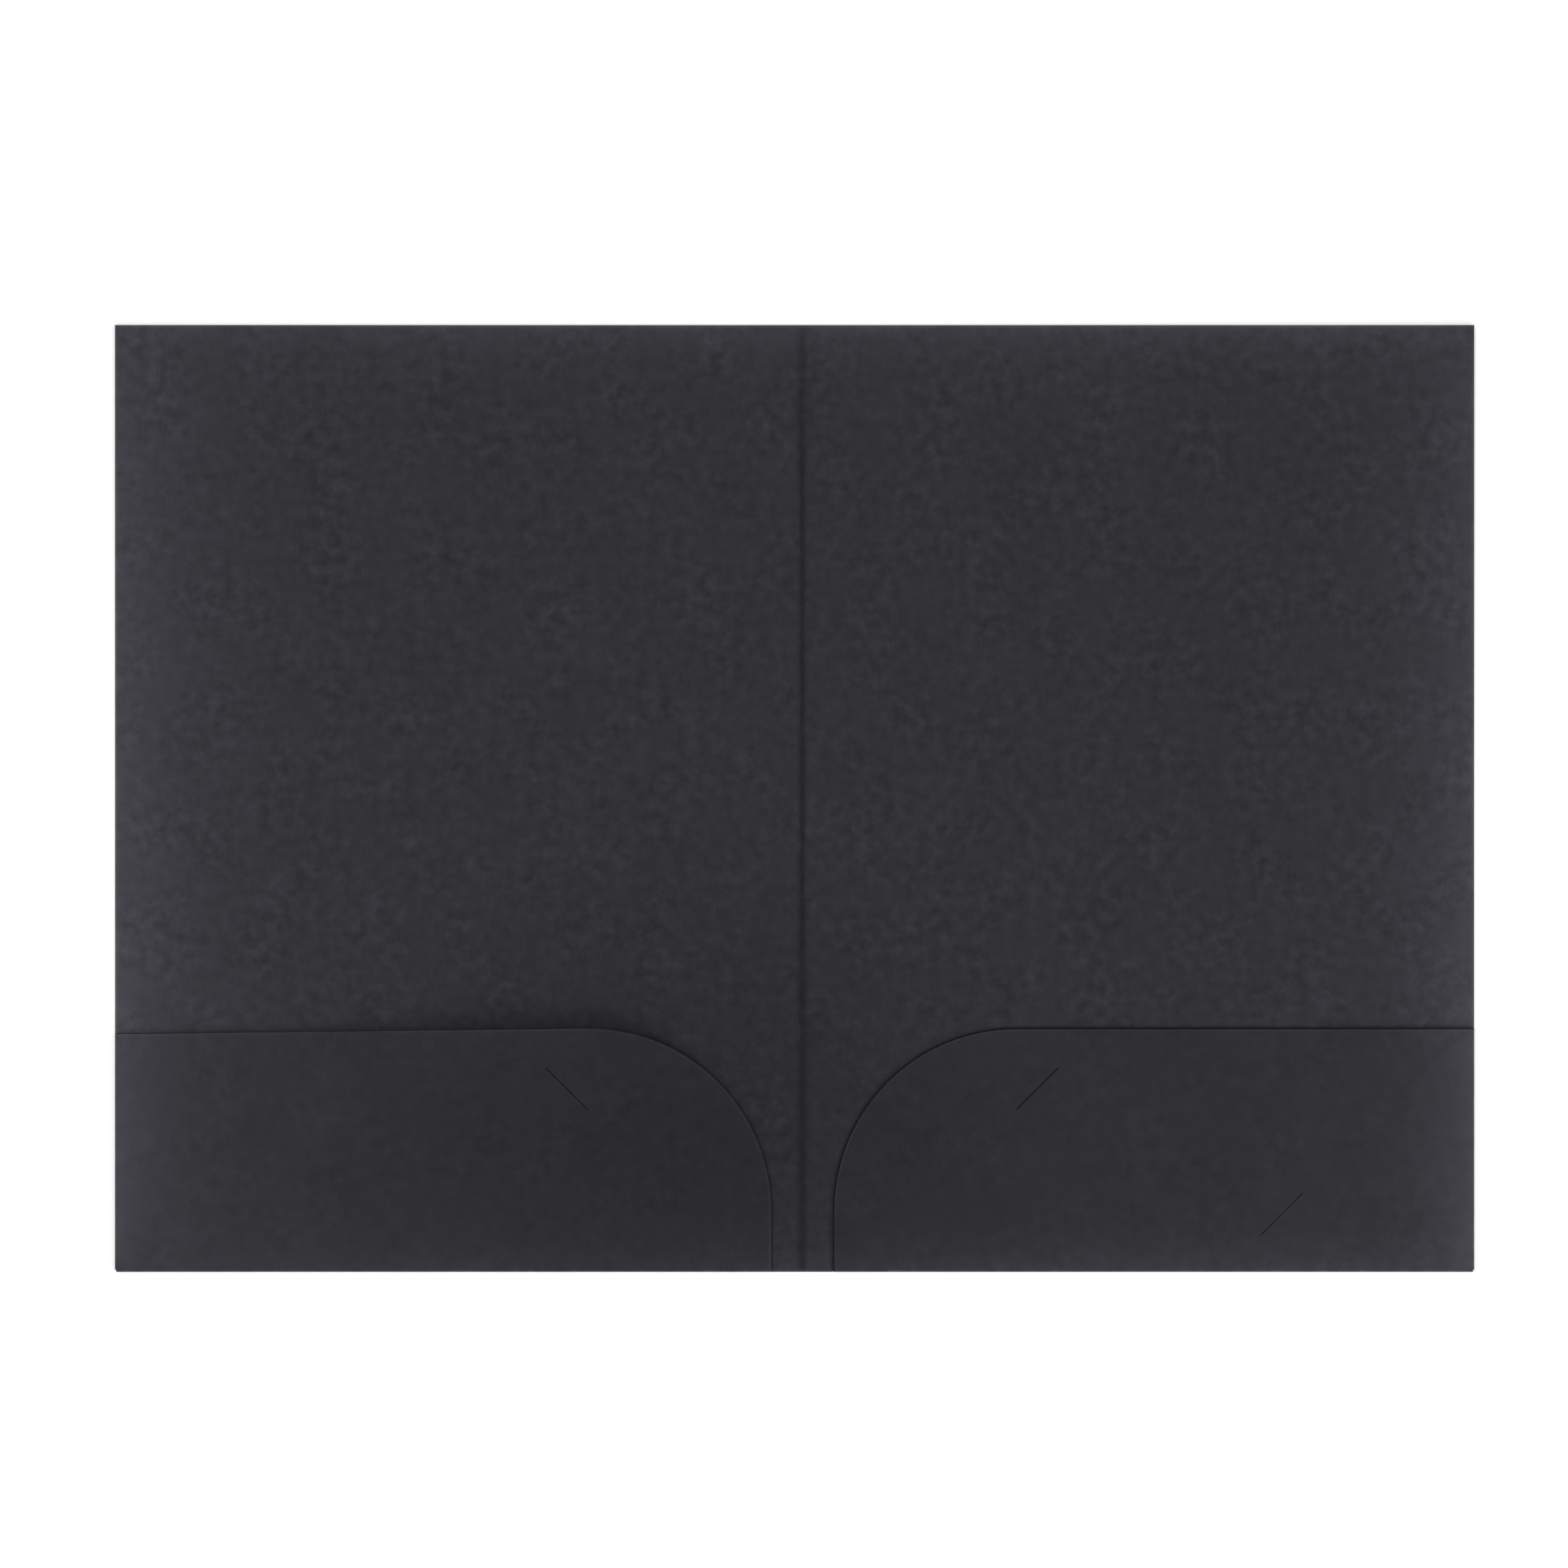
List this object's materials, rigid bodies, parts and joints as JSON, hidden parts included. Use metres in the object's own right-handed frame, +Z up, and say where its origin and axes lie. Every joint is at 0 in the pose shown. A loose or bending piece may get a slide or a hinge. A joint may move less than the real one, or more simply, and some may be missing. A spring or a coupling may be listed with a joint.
{
  "type": "two pocket folder",
  "caption": "Black card presentation folder that folds shut along a scored spine, with a round-cornered pocket and slits for a business card inside each cover.",
  "frame": {"origin": "middle of the open folder's footprint, on the surface it lies on", "axes": "+X to the right from the front cover to the back cover, +Y towards the folder's top edge, +Z up out of the inside faces"},
  "size_m": [0.445, 0.31, 0.0014],
  "materials": {
    "black_card": "matte",
    "glue": "satin"
  },
  "bodies": {
    "back_cover": {"back_panel": "black_card", "back_pocket_fold": "black_card", "back_side_fold": "black_card", "back_glue_tab": "black_card", "back_glue_strip": "glue"},
    "spine": {"spine_crease": "black_card"},
    "front_cover": {"front_panel": "black_card", "front_pocket_fold": "black_card", "front_side_fold": "black_card", "front_glue_tab": "black_card", "front_glue_strip": "glue"},
    "back_pocket": {"back_pocket": "black_card"},
    "front_pocket": {"front_pocket": "black_card"}
  },
  "joints": [
    {"name": "spine_back_fold", "type": "hinge", "parent": "back_cover", "child": "spine", "pos_m": [0.004, 0, 0.0004], "axis": [0, 1, 0], "range_deg": [0, 87]},
    {"name": "spine_front_fold", "type": "hinge", "parent": "spine", "child": "front_cover", "pos_m": [0.001, 0, 0.0004], "axis": [0, 1, 0], "range_deg": [0, 87]},
    {"name": "back_pocket_mouth", "type": "hinge", "parent": "back_cover", "child": "back_pocket", "pos_m": [0.1175, -0.15432, 0.00135], "axis": [1, 0, 0], "range_deg": [0, 1.4], "stiffness_Nm_per_rad": 0.2},
    {"name": "front_pocket_mouth", "type": "hinge", "parent": "front_cover", "child": "front_pocket", "pos_m": [-0.115, -0.15432, 0.00135], "axis": [1, 0, 0], "range_deg": [0, 1.4], "stiffness_Nm_per_rad": 0.2}
  ],
  "couplings": [
    {"joint": "spine_front_fold", "follows": "spine_back_fold", "ratio": 1}
  ]
}
